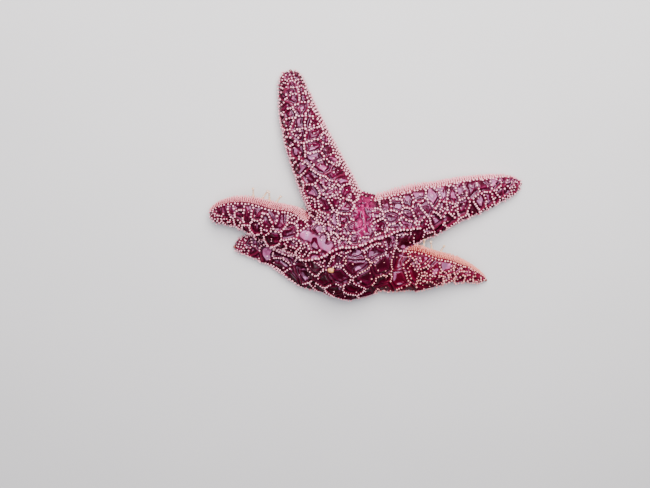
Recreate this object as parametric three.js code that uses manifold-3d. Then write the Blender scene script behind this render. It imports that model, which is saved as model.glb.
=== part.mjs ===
// An ochre sea star at rest: a domed disc and five arms, two of them rolled so that one edge lifts and
// shows its fringe and tube feet. Millimetres, +Z up. The origin is the centre of the mouth, on the ground.
import * as THREE from "three";
import { LoftGeometry } from "three/addons/geometries/LoftGeometry.js";
import { mergeVertices } from "three/addons/utils/BufferGeometryUtils.js";
import Module from "manifold-3d";

const wasm = await Module();
wasm.setup();

// Driving dimensions
const GAP = 0.3; // clearance between neighbouring pieces
const RING_POINTS = 20;
const STATIONS = 18;
const STATION_CROWDING = 1.8; // 1 spaces the sections of an arm evenly, more crowds them at its tip
const SETTLE = 0.4; // how far soft flesh sinks, which gives the flats that the body rests on

const DISC = { x: 1, y: -2, radius: 43.5, height: 37, crown: 2.1, rings: 11, sides: 36 };
const WAIST = 0.33; // height of a section's widest line, as a share of its height
const BACK_EXPONENT = 2.2; // superellipse exponents of a section's back and underside
const BELLY_EXPONENT = 3.2;
// The ambulacral groove under each arm: its size, and the most it takes of a section's half width and height.
const GROOVE = {
  halfWidth: 3.2, depth: 5.5, widthShare: 0.25, depthShare: 0.3, fromTip: 5, steps: 9, below: 3,
};
const TIP_LIFT = { reach: 14, height: 3 };
// A tube foot: its radii, and its root as shares of the section's half width and height.
const FOOT = { base: 0.9, end: 0.6, sides: 8, across: 0.8, up: 0.12, reach: 10, droop: 0.1, buried: 2 };
const EYESPOT = { radius: 1.3, fromTip: 0.7 };
const MOUTH = { radius: 6, height: 5, sides: 24 };
const MADREPORITE = { x: -13, y: -12.5, radius: 3.2, height: 1.5, tilt: 0.4 };
const BLUNT_END = 0.3; // distance of the last section from an arm's tip
const CUTTER = { below: 2, height: 60, sides: 60 };

// Each arm follows a Bezier curve on the ground, from the middle of the disc to its tip. Its half width is
// width x (distance from the tip / taper) ^ bluntness, up to the taper, and less by a share round a slim
// place. A positive roll lifts the side on the left of someone walking out along it. An arm lies over those
// that come later in the list. Tube feet that reach past the raised edge are given by their distance from
// the tip, length and lean along the arm.
const ARMS = [
  {
    name: "upper",
    path: [[-1, 4], [-11, 44], [-38.5, 80], [-41.3, 125.5]],
    width: 20.8, height: 26, taper: 92, bluntness: 0.33, roll: 0, feet: [],
  },
  {
    name: "right",
    path: [[2, 2], [42, 22], [84, 36.5], [125.5, 44.5]],
    width: 24, height: 27, taper: 104, bluntness: 0.42, roll: 8, feet: [],
  },
  {
    name: "left",
    path: [[-2, 2], [-36, -4], [-68, 42], [-101.2, 20]],
    width: 20.8, height: 27, taper: 62, bluntness: 0.36, roll: -38,
    slim: { share: 0.22, fromTip: 70, reach: 17 },
    feet: [[31, 6, 0.2], [36, 7, -0.3], [41, 6, 0.4], [45, 5, -0.2]],
  },
  {
    name: "lower_right",
    path: [[4, -8], [42.7, -34.1], [48.8, -0.3], [105, -30.9]],
    width: 20, height: 24, taper: 55, bluntness: 0.6, roll: 38,
    feet: [[42, 5, 0.3], [47, 6, -0.2], [52, 5, 0.1]],
  },
  {
    name: "lower_left",
    path: [[0, -8], [-25.2, -46.9], [-42.4, 4.3], [-85.3, -4.3]],
    width: 16.4, height: 18, taper: 60, bluntness: 0.38, roll: 0, feet: [],
  },
];

const COLOURS = { skin: 0x8a2440, madreporite: 0xe0b184, mouth: 0xc98f7c, eye: 0xa8321c };

// A closed geometry as a solid, once the vertices that its faces share are merged.
function solidOf(geometry) {
  const bare = new THREE.BufferGeometry();
  bare.setAttribute("position", geometry.getAttribute("position"));
  bare.setIndex(geometry.index);
  const merged = mergeVertices(bare);
  const mesh = new wasm.Mesh({
    numProp: 3,
    vertProperties: merged.attributes.position.array,
    triVerts: new Uint32Array(merged.index.array),
  });
  return new wasm.Manifold(mesh);
}

function union(solids) {
  return solids.reduce((all, next) => all.add(next));
}

function upright(geometry, x, y, bottom, height) {
  return geometry.rotateX(Math.PI / 2).translate(x, y, bottom + height / 2);
}

function smoothstep(low, high, value) {
  return THREE.MathUtils.smoothstep(value, low, high);
}

// A power of a sine or cosine that keeps its sign, as a superellipse needs.
function signedPower(value, power) {
  return Math.sign(value) * Math.abs(value) ** power;
}

function slimness({ slim }, fromTip) {
  return slim ? 1 - slim.share * Math.exp(-(((fromTip - slim.fromTip) / slim.reach) ** 2)) : 1;
}

// A section's outline before it is rolled: across and up from its own foot line.
function outline(arm, fromTip, grow) {
  const share = Math.min(1, fromTip / arm.taper) ** arm.bluntness;
  const half = arm.width * share * slimness(arm, fromTip) + grow;
  const height = arm.height * share + grow;
  const waist = WAIST * height;
  const points = [];
  for (let i = 0; i < RING_POINTS; i++) {
    const angle = (i / RING_POINTS) * 2 * Math.PI;
    const across = half * signedPower(Math.cos(angle), 2 / BACK_EXPONENT);
    const rise = Math.sin(angle) > 0 ? height - waist : waist;
    const exponent = Math.sin(angle) > 0 ? BACK_EXPONENT : BELLY_EXPONENT;
    points.push([across, waist + rise * signedPower(Math.sin(angle), 2 / exponent)]);
  }
  return { points, waist, half, height };
}

// The place of a section: a function that takes across and up in the section's own plane into space. It
// rolls the section about its waist and lowers it until its lowest point sinks by SETTLE.
function placer(arm, fromTip) {
  const u = 1 - fromTip / arm.length;
  const centre = arm.curve.getPointAt(u);
  const along = arm.curve.getTangentAt(u);
  const left = new THREE.Vector3(-along.y, along.x, 0).normalize();
  const roll = THREE.MathUtils.degToRad(arm.roll) * smoothstep(0.3, 0.62, u);
  const { points, waist } = outline(arm, fromTip, 0);
  const turn = ([across, up]) => [
    across * Math.cos(roll) - (up - waist) * Math.sin(roll),
    across * Math.sin(roll) + (up - waist) * Math.cos(roll),
  ];
  const lowest = Math.min(...points.map((point) => turn(point)[1]));
  const lift = TIP_LIFT.height * Math.max(0, 1 - fromTip / TIP_LIFT.reach) ** 2;
  return (across, up) => {
    const [x, z] = turn([across, up]);
    return centre.clone().addScaledVector(left, x).setZ(z - lowest - SETTLE + lift);
  };
}

// Distances from the tip, close together at the tip, where the arm rounds off.
function stations(arm, nearest) {
  const list = [];
  for (let i = 0; i < STATIONS; i++) {
    list.push(nearest + (arm.length - nearest) * (1 - i / (STATIONS - 1)) ** STATION_CROWDING);
  }
  return list;
}

function armSolid(arm, grow) {
  const sections = stations(arm, BLUNT_END).map((fromTip) => {
    const place = placer(arm, fromTip);
    return outline(arm, fromTip, grow).points.map(([across, up]) => {
      const point = place(across, up);
      return point.setZ(Math.max(point.z, -grow));
    });
  });
  return solidOf(new LoftGeometry(sections, { capStart: true, capEnd: true }));
}

// The groove is cut by an arch carried along the same path.
function grooveCutter(arm) {
  const sections = stations(arm, GROOVE.fromTip).map((fromTip) => {
    const place = placer(arm, fromTip);
    const { height, half } = outline(arm, fromTip, 0);
    const width = Math.min(GROOVE.halfWidth, GROOVE.widthShare * half);
    const depth = Math.min(GROOVE.depth, GROOVE.depthShare * height);
    const ring = [];
    for (let i = 0; i <= GROOVE.steps; i++) {
      const angle = (i / GROOVE.steps) * Math.PI;
      ring.push(place(width * Math.cos(angle), depth * Math.sin(angle)));
    }
    return [place(width, -GROOVE.below), ...ring, place(-width, -GROOVE.below)];
  });
  return solidOf(new LoftGeometry(sections, { capStart: true, capEnd: true }));
}

// A tube foot that reaches out past the raised edge of a rolled arm.
function footSolid(arm, [fromTip, length, lean]) {
  const side = arm.roll > 0 ? 1 : -1;
  const { half, height } = outline(arm, fromTip, 0);
  const place = placer(arm, fromTip);
  const root = place(side * half * FOOT.across, height * FOOT.up);
  const out = place(side * (half + FOOT.reach), height * -FOOT.droop).sub(root).normalize();
  const along = arm.curve.getTangentAt(1 - fromTip / arm.length);
  const direction = out.addScaledVector(along, lean).normalize();
  const whole = length + 2 * FOOT.buried;
  const geometry = new THREE.CylinderGeometry(FOOT.end, FOOT.base, whole, FOOT.sides);
  geometry.translate(0, whole / 2 - FOOT.buried, 0);
  geometry.applyQuaternion(new THREE.Quaternion().setFromUnitVectors(new THREE.Vector3(0, 1, 0), direction));
  return solidOf(geometry.translate(root.x, root.y, root.z));
}

function eyespotSolid(arm, radius) {
  const centre = placer(arm, EYESPOT.fromTip)(0, outline(arm, EYESPOT.fromTip, 0).height / 2);
  return solidOf(new THREE.SphereGeometry(radius, 10, 6).translate(centre.x, centre.y, centre.z));
}

// The dome of the disc: a superellipse turned about its axis.
function domeSolid() {
  const profile = [new THREE.Vector2(0, 0)];
  for (let i = 0; i <= DISC.rings; i++) {
    const angle = (i / DISC.rings) * (Math.PI / 2);
    const out = DISC.radius * Math.cos(angle) ** (2 / DISC.crown);
    const up = DISC.height * Math.sin(angle) ** (2 / DISC.crown);
    profile.push(new THREE.Vector2(i === DISC.rings ? 0 : out, up));
  }
  const geometry = new THREE.LatheGeometry(profile, DISC.sides);
  return solidOf(geometry.rotateX(Math.PI / 2).translate(DISC.x, DISC.y, 0));
}

function cylinder(radius, sides, x, y, bottom, height) {
  return solidOf(upright(new THREE.CylinderGeometry(radius, radius, height, sides), x, y, bottom, height));
}

// A low button set in the back of the disc.
function madreporiteSolid(grow) {
  const { x, y, radius, height, tilt } = MADREPORITE;
  const reach = Math.hypot(x - DISC.x, y - DISC.y) / DISC.radius;
  const surface = DISC.height * (1 - reach ** DISC.crown) ** (1 / DISC.crown);
  const ball = new THREE.SphereGeometry(1, 14, 8);
  ball.scale(radius + grow, radius + grow, height + grow).rotateY(-tilt);
  return solidOf(ball.translate(x, y, surface));
}

function meshOf(name, solid, colour, roughness) {
  const { vertProperties, triVerts } = solid.getMesh();
  const geometry = new THREE.BufferGeometry();
  geometry.setAttribute("position", new THREE.BufferAttribute(vertProperties, 3));
  geometry.setIndex(new THREE.BufferAttribute(triVerts, 1));
  geometry.computeVertexNormals();
  const material = new THREE.MeshStandardMaterial({ color: colour, roughness, metalness: 0 });
  const mesh = new THREE.Mesh(geometry, material);
  mesh.name = name;
  return mesh;
}

for (const arm of ARMS) {
  const [start, nearStart, nearTip, tip] = arm.path.map(([x, y]) => new THREE.Vector3(x, y, 0));
  arm.curve = new THREE.CubicBezierCurve3(start, nearStart, nearTip, tip);
  arm.length = arm.curve.getLength();
  arm.solid = armSolid(arm, 0);
}

const grooves = union(ARMS.map(grooveCutter));
const core = cylinder(DISC.radius, CUTTER.sides, DISC.x, DISC.y, -CUTTER.below, CUTTER.height);
const coreWithGap = cylinder(DISC.radius + GAP, CUTTER.sides, DISC.x, DISC.y, -CUTTER.below, CUTTER.height);
const mouthTop = CUTTER.below + MOUTH.height + GAP;
const mouthHole = cylinder(MOUTH.radius + GAP, MOUTH.sides, 0, 0, -CUTTER.below, mouthTop);

const seaStar = new THREE.Group();

const disc = union(ARMS.map((arm) => arm.solid))
  .intersect(core)
  .add(domeSolid())
  .subtract(grooves)
  .subtract(mouthHole)
  .subtract(madreporiteSolid(GAP));
seaStar.add(meshOf("disc", disc, COLOURS.skin, 0.4));

ARMS.forEach((arm, order) => {
  let solid = union([arm.solid, ...arm.feet.map((foot) => footSolid(arm, foot))]);
  solid = solid.subtract(coreWithGap).subtract(grooves).subtract(eyespotSolid(arm, EYESPOT.radius + GAP));
  for (const above of ARMS.slice(0, order)) {
    solid = solid.subtract(armSolid(above, GAP));
  }
  seaStar.add(meshOf("arm_" + arm.name, solid, COLOURS.skin, 0.4));
  seaStar.add(meshOf("eyespot_" + arm.name, eyespotSolid(arm, EYESPOT.radius), COLOURS.eye, 0.3));
});

seaStar.add(meshOf("madreporite", madreporiteSolid(0), COLOURS.madreporite, 0.6));
const mouth = cylinder(MOUTH.radius, MOUTH.sides, 0, 0, 0, MOUTH.height);
seaStar.add(meshOf("mouth", mouth, COLOURS.mouth, 0.35));

export default seaStar;
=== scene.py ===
"""The skin, spines, tube feet and studio of a life-size ochre sea star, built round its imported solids.

Lengths inside the shape functions are millimetres; they become metres when a mesh is made.
"""

import math

import bpy
import numpy as np
from bpy.props import FloatProperty, FloatVectorProperty, IntProperty, PointerProperty
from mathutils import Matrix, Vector


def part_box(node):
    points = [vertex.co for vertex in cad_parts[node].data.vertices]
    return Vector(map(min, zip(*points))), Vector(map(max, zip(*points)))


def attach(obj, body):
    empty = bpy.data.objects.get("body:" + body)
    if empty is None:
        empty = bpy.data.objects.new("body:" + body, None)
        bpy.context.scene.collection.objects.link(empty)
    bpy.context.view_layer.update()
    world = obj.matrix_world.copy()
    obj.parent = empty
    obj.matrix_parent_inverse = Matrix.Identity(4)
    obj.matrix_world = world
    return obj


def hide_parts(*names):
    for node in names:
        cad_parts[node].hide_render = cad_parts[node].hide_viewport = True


bl_info = {
    "name": "Ochre sea star",
    "version": (1, 0, 0),
    "blender": (4, 5, 0),
    "location": "View3D > Sidebar > Sea star",
    "description": "Builds the skin, spines and tube feet of a sea star, and a studio round it",
    "category": "Add Mesh",
}

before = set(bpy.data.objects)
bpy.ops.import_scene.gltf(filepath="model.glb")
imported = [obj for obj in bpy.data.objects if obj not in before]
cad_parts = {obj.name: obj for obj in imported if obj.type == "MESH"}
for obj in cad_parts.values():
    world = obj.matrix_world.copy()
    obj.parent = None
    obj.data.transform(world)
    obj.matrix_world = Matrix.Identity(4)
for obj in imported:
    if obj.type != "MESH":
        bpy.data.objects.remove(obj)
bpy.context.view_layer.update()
MM = 0.001

# The star's plan, the same as that of its solids.
DISC = {"x": 1, "y": -2, "radius": 43.5, "height": 37, "crown": 2.1}
WAIST = 0.33
BACK_EXPONENT = 2.2
BELLY_EXPONENT = 3.2
SETTLE = 0.4
TIP_LIFT = {"reach": 14, "height": 3}
ARM_PLANS = {
    "upper": {
        "path": [(-1, 4), (-11, 44), (-38.5, 80), (-41.3, 125.5)],
        "width": 20.8, "height": 26, "taper": 92, "bluntness": 0.33, "roll": 0,
    },
    "right": {
        "path": [(2, 2), (42, 22), (84, 36.5), (125.5, 44.5)],
        "width": 24, "height": 27, "taper": 104, "bluntness": 0.42, "roll": 8,
    },
    "left": {
        "path": [(-2, 2), (-36, -4), (-68, 42), (-101.2, 20)],
        "width": 20.8, "height": 27, "taper": 62, "bluntness": 0.36, "roll": -38,
        "slim": {"share": 0.22, "from_tip": 70, "reach": 17},
    },
    "lower_right": {
        "path": [(4, -8), (42.7, -34.1), (48.8, -0.3), (105, -30.9)],
        "width": 20, "height": 24, "taper": 55, "bluntness": 0.6, "roll": 38,
    },
    "lower_left": {
        "path": [(0, -8), (-25.2, -46.9), (-42.4, 4.3), (-85.3, -4.3)],
        "width": 16.4, "height": 18, "taper": 60, "bluntness": 0.38, "roll": 0,
    },
}
# Tube feet that reach out past a raised edge: distance from the tip, length, lean along the arm.
REACHING_FEET = {
    "left": [(31, 6, 0.2), (36, 7, -0.3), (41, 6, 0.4), (45, 5, -0.2)],
    "lower_right": [(42, 5, 0.3), (47, 6, -0.2), (52, 5, 0.1)],
}

# Landmarks of the back, in plan: the fold that crosses the disc and its crest's distance north of it, the
# bare patch between the upper and right arms, a sleek patch by the fold that carries a painted reflection,
# and the hollow between the upper and left arms, which is also painted in shade.
FOLD_LINE = [(-63, -0.5), (-53, -4.4), (-45, -7.6), (-34, -8.6), (-22, -4.1), (-10, 3.7), (-4.6, 5.4),
             (7.4, 6.1), (16, 9.7), (28, 11.6), (37, 14.8), (54, 16)]
FOLD_CREST = 0.6
BARE_PATCH = {"from": (12, 36), "to": (9, 19), "radius": 6.4}
SLEEK_PATCH = {"from": (-32, 11.5), "to": (-14, 5), "radius": 3.8}
HOLLOW = {"from": (-11, 15), "to": (-30, 23), "radius": 7, "depth": 3.2}
# How much painted reflection, a pale sheen of sky, the cells of each arm and of the disc hold: less than 0
# for little.
SHEEN_LEVELS = {"upper": -0.24, "right": -0.06, "left": -0.65, "lower_right": 0.0, "lower_left": 0.12, "disc": -0.1}
GROOVE = {"half_width": 3.2, "depth": 5.5}
RIM_INSET = 2.6  # how far inside a cell's border its rim runs

# The studio, in metres: the point that the camera looks at, and the two lights' places and sizes.
LOOK_AT = (-0.01725, -0.00315, 0)
LIGHTS = {
    "key": {"place": (0.1, 0.62, 0.75), "size": 0.6, "colour": (1.0, 0.98, 0.97)},
    "top": {"place": (-0.05, 0.27, 0.92), "size": 1.0, "colour": (0.88, 0.86, 1.0)},
}


# ---------------------------------------------------------------- numbers


def smoothstep(low, high, value):
    """0 below low, 1 above high, and 3t^2 - 2t^3 between them."""
    t = np.clip((value - low) / (high - low), 0, 1)
    return t * t * (3 - 2 * t)


def signed_power(value, power):
    """A power of a sine or cosine that keeps its sign, as a superellipse needs."""
    return np.sign(value) * np.abs(value) ** power


def bell(value, width):
    """A bell curve: e to the power -(value / width)^2, which is 1 at 0."""
    return np.exp(-((value / width) ** 2))


def unit(vectors):
    """Each vector divided by its own length."""
    return vectors / np.maximum(np.linalg.norm(vectors, axis=-1, keepdims=True), 1e-9)


def cloud(points, size, seed):
    """Smooth noise from -1 to 1: random values on a cubic lattice of cells of that size, blended between
    a cell's eight corners by smoothstep."""
    lattice = np.random.default_rng(seed).uniform(-1, 1, (32, 32, 32))
    place = points / size
    cell = np.floor(place).astype(int)
    share = smoothstep(0, 1, place - cell)
    total = np.zeros(len(points))
    for corner in np.ndindex(2, 2, 2):
        weight = np.prod(np.where(corner, share, 1 - share), axis=1)
        total += weight * lattice[tuple(((cell + corner) % 32).T)]
    return total


def clouds(points, size, seed):
    """Three clouds at once, as offsets in space."""
    return np.stack([cloud(points, size, seed + k) for k in range(3)], -1)


def capsule(points, start, end):
    """Plan distance from each point to the straight line from start to end."""
    start, end = np.array(start, float), np.array(end, float)
    along = end - start
    share = np.clip((points[:, :2] - start) @ along / (along @ along), 0, 1)
    return np.linalg.norm(points[:, :2] - start - share[:, None] * along, axis=1)


def patch(points, place, power):
    """How far each point belongs to a patch of the back: e to the power -(distance / radius)^power, with
    the distance taken from the patch's straight middle line."""
    share = capsule(points, place["from"], place["to"]) / place["radius"]
    return np.exp(-(share**power))


def beside(points, line):
    """Plan distance from each point to a line of straight stretches, positive on its left, and how far
    along the line the nearest place is."""
    line = np.array(line, float)
    best = np.full(len(points), 1e9)
    signed, along = np.zeros(len(points)), np.zeros(len(points))
    gone = 0.0
    for start, end in zip(line[:-1], line[1:]):
        step = end - start
        length = np.linalg.norm(step)
        share = np.clip((points[:, :2] - start) @ step / length**2, 0, 1)
        offset = points[:, :2] - start - share[:, None] * step
        distance = np.linalg.norm(offset, axis=1)
        side = np.sign(step[0] * offset[:, 1] - step[1] * offset[:, 0])
        closer = distance < best
        best = np.where(closer, distance, best)
        signed = np.where(closer, side * distance, signed)
        along = np.where(closer, gone + share * length, along)
        gone += length
    return signed, along


# ---------------------------------------------------------------- arms


class Arm:
    """One arm's middle line and sections, tabled against the distance out from the middle of the disc."""

    def __init__(self, name, plan):
        self.name = name
        self.plan = plan
        t = np.linspace(0, 1, 401)[:, None]
        a, b, c, d = (np.array(point, float) for point in plan["path"])
        self.line = (1 - t) ** 3 * a + 3 * (1 - t) ** 2 * t * b + 3 * (1 - t) * t**2 * c + t**3 * d
        steps = np.linalg.norm(np.diff(self.line, axis=0), axis=1)
        self.out = np.concatenate([[0], np.cumsum(steps)])
        self.length = self.out[-1]
        self.along = unit(np.gradient(self.line, self.out, axis=0))
        from_tip = self.length - self.out
        share = np.clip(from_tip / plan["taper"], 1e-6, 1) ** plan["bluntness"]
        self.half = plan["width"] * share
        if "slim" in plan:
            slim = plan["slim"]
            self.half *= 1 - slim["share"] * bell(from_tip - slim["from_tip"], slim["reach"])
        self.height = plan["height"] * share
        self.roll = math.radians(plan["roll"]) * smoothstep(0.3, 0.62, self.out / self.length)
        angle = np.linspace(0, 2 * math.pi, 90)[None, :]
        across, up = self.ring(self.half[:, None], self.height[:, None], angle)
        turned = across * np.sin(self.roll)[:, None] + up * np.cos(self.roll)[:, None]
        lift = TIP_LIFT["height"] * np.clip(1 - from_tip / TIP_LIFT["reach"], 0, 1) ** 2
        self.base = lift - turned.min(axis=1) - SETTLE

    def ring(self, half, height, angle):
        """A section's outline about its waist: a superellipse with one exponent above and one below."""
        sine, cosine = np.sin(angle), np.cos(angle)
        waist = WAIST * height
        rise = np.where(sine > 0, height - waist, waist)
        power = np.where(sine > 0, 2 / BACK_EXPONENT, 2 / BELLY_EXPONENT)
        return half * signed_power(cosine, 2 / BACK_EXPONENT), rise * signed_power(sine, power)

    def at(self, out, values):
        """One of the tables, read at any distances out."""
        return np.interp(out, self.out, values)

    def place(self, out, across, up):
        """Points across and up from the waist of the sections at those distances out, as x, y, z."""
        roll = self.at(out, self.roll)
        x = across * np.cos(roll) - up * np.sin(roll)
        z = across * np.sin(roll) + up * np.cos(roll)
        along = np.stack([self.at(out, self.along[:, k]) for k in (0, 1)], -1)
        middle = np.stack([self.at(out, self.line[:, k]) for k in (0, 1)], -1)
        left = np.stack([-along[..., 1], along[..., 0]], -1)
        return np.concatenate([middle + x[..., None] * left, (z + self.at(out, self.base))[..., None]], -1)

    def unplace(self, points):
        """The reverse of place: distances out, across and up of points, from the nearest of the middle
        line's points and the straight line through it, and how far behind the root or past the tip
        they are."""
        flat, sample = points[:, :2], slice(None, None, 4)
        line = self.line[sample]
        nearest = np.argmin((line**2).sum(1) - 2 * flat @ line.T, axis=1)
        free = self.out[sample][nearest] + ((flat - line[nearest]) * self.along[sample][nearest]).sum(1)
        out = np.clip(free, 0, self.length)
        along = np.stack([self.at(out, self.along[:, k]) for k in (0, 1)], -1)
        offset = flat - np.stack([self.at(out, self.line[:, k]) for k in (0, 1)], -1)
        x = offset[:, 1] * along[:, 0] - offset[:, 0] * along[:, 1]
        z = points[:, 2] - self.at(out, self.base)
        roll = self.at(out, self.roll)
        across, up = x * np.cos(roll) + z * np.sin(roll), z * np.cos(roll) - x * np.sin(roll)
        return out, across, up, np.abs(free - out)

    def skin(self, depth):
        """The section outline carried along the arm, drawn in by depth, as a closed tube of rings. The
        depth is least at the tip, where the spines are shortest."""
        tip_depth = 0.55 * depth
        from_tip = tip_depth + (self.length - tip_depth) * np.linspace(1, 0, 120) ** 1.9
        depth = (tip_depth + (depth - tip_depth) * smoothstep(0, 25, from_tip))[:, None]
        out = (self.length - from_tip)[:, None]
        angle = np.linspace(0, 2 * math.pi, 96, endpoint=False)[None, :]
        shorter = out + tip_depth
        half = np.minimum(self.at(out, self.half) - depth, self.at(shorter, self.half))
        height = self.at(out, self.height)
        share = np.minimum(1 - 2 * depth / height, self.at(shorter, self.height) / height)
        across, up = self.ring(1.0, height, angle)
        return self.place(out + 0 * angle, across * np.maximum(half, 0.05), up * np.maximum(share, 0.01))


ARMS = [Arm(name, plan) for name, plan in ARM_PLANS.items()]
DISC_INDEX = len(ARMS)
HEMMED_ARM = list(ARM_PLANS).index("upper")
WARM_ARM = list(ARM_PLANS).index("lower_right")
HEDGED_ARM = list(ARM_PLANS).index("right")


def arm_length(owner):
    """The length of the arm that each point belongs to. The disc's has no end."""
    return np.array([arm.length for arm in ARMS] + [1e3])[owner]


def dome_rings(depth):
    """The disc's dome drawn in by depth: a superellipse turned about its axis, with a flat underside."""
    rise = np.linspace(0, math.pi / 2, 40)[:-1]
    radius = (DISC["radius"] - depth) * np.cos(rise) ** (2 / DISC["crown"])
    height = depth + (DISC["height"] - 2 * depth) * np.sin(rise) ** (2 / DISC["crown"])
    turn = np.linspace(0, 2 * math.pi, 96, endpoint=False)
    x = DISC["x"] + radius[:, None] * np.cos(turn)
    y = DISC["y"] + radius[:, None] * np.sin(turn)
    return np.stack([x, y, np.broadcast_to(height[:, None], x.shape)], -1)


def locate(points):
    """Where each point lies on the star: the arm or disc that it belongs to, and in that arm's section
    the distance out, across, up, the side angle (90 on the crest, 0 at the waist, -90 underneath), and
    how clearly it belongs there. It belongs where its distance from the middle, as a share of the
    outline's, is least."""
    out, across, up, level = (np.zeros((len(ARMS) + 1, len(points))) for _ in range(4))
    for k, arm in enumerate(ARMS):
        out[k], across[k], up[k], beyond = arm.unplace(points)
        half, height = arm.at(out[k], arm.half), arm.at(out[k], arm.height)
        rise = np.where(up[k] > 0, 1 - WAIST, WAIST) * height
        across[k] /= half
        up[k] /= rise
        power = np.where(up[k] > 0, BACK_EXPONENT, BELLY_EXPONENT)
        level[k] = (np.abs(across[k]) ** power + np.abs(up[k]) ** power) ** (1 / power) + beyond / half
    flat = points[:, :2] - (DISC["x"], DISC["y"])
    across[-1] = np.linalg.norm(flat, axis=1) / DISC["radius"]
    up[-1] = points[:, 2] / DISC["height"]
    out[-1] = np.arctan2(flat[:, 1], flat[:, 0]) * DISC["radius"]
    crown = DISC["crown"]
    level[-1] = (across[-1] ** crown + np.maximum(up[-1], 0) ** crown) ** (1 / crown)
    owner = np.argmin(level, axis=0)
    ordered = np.sort(level, axis=0)
    pick = (owner, np.arange(len(points)))
    side = np.degrees(np.arctan2(up[pick], np.abs(across[pick])))
    return {
        "owner": owner, "out": out[pick], "across": across[pick], "side": side,
        "crease": bell(ordered[1] - ordered[0], 0.09),
        "outs": out, "sides": across, "ups": up,
    }


# ---------------------------------------------------------------- meshes


def tube_faces(rings, sides, first=0):
    """Quads between successive rings of points, closed round each ring."""
    row = np.arange(rings - 1)[:, None] * sides
    a = row + np.arange(sides)
    b = row + (np.arange(sides) + 1) % sides
    return np.stack([a, b, b + sides, a + sides], -1).reshape(-1, 4) + first


def closed_tube(grid, first=0):
    """A grid of rings as points and faces, with each end ring filled by one flat face."""
    rings, sides = grid.shape[:2]
    ends = np.stack([np.arange(sides)[::-1], np.arange(sides) + (rings - 1) * sides]) + first
    return grid.reshape(-1, 3), [tube_faces(rings, sides, first), ends]


def join(parts):
    """Several (points, faces) as one, with the faces' indices moved on."""
    points, faces, first = [], [], 0
    for part_points, part_faces in parts:
        points.append(part_points)
        faces.extend(block + first for block in part_faces)
        first += len(part_points)
    return np.concatenate(points), faces


def new_piece(name, points, faces, material, uv=None, **attributes):
    """A mesh object from points in millimetres, blocks of faces and values for each point."""
    mesh = bpy.data.meshes.new(name)
    mesh.from_pydata(points * MM, [], [face for block in faces for face in block.tolist()])
    mesh.polygons.foreach_set("use_smooth", np.ones(len(mesh.polygons), bool))
    if uv is not None:
        corners = np.empty(len(mesh.loops), int)
        mesh.loops.foreach_get("vertex_index", corners)
        mesh.uv_layers.new(name="OFBake").data.foreach_set("uv", uv[corners].ravel())
    for key, values in attributes.items():
        mesh.attributes.new(key, "FLOAT", "POINT").data.foreach_set("value", values.astype(np.float32))
    mesh.update()
    piece = bpy.data.objects.new(name, mesh)
    bpy.context.collection.objects.link(piece)
    if material:
        mesh.materials.append(material)
    return piece


def read_points(mesh, kind="co"):
    """A mesh's vertex places, in millimetres, or its vertex normals."""
    values = np.empty(len(mesh.vertices) * 3)
    mesh.vertices.foreach_get(kind, values)
    return values.reshape(-1, 3) / (MM if kind == "co" else 1)


def read_edges(mesh):
    """Pairs of vertex numbers."""
    pairs = np.empty(len(mesh.edges) * 2, int)
    mesh.edges.foreach_get("vertices", pairs)
    return pairs.reshape(-1, 2)


def relax(points, edges, rounds, weight):
    """Moves each point towards the mean of its neighbours, by its weight, a number of times."""
    a, b = edges.T
    size = len(points)
    count = np.bincount(edges.ravel(), minlength=size)[:, None]
    for _ in range(rounds):
        total = [np.bincount(a, points[b, k], size) + np.bincount(b, points[a, k], size) for k in range(3)]
        points = points + weight * (np.stack(total, -1) / count - points)
    return points


# ---------------------------------------------------------------- skin


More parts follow.
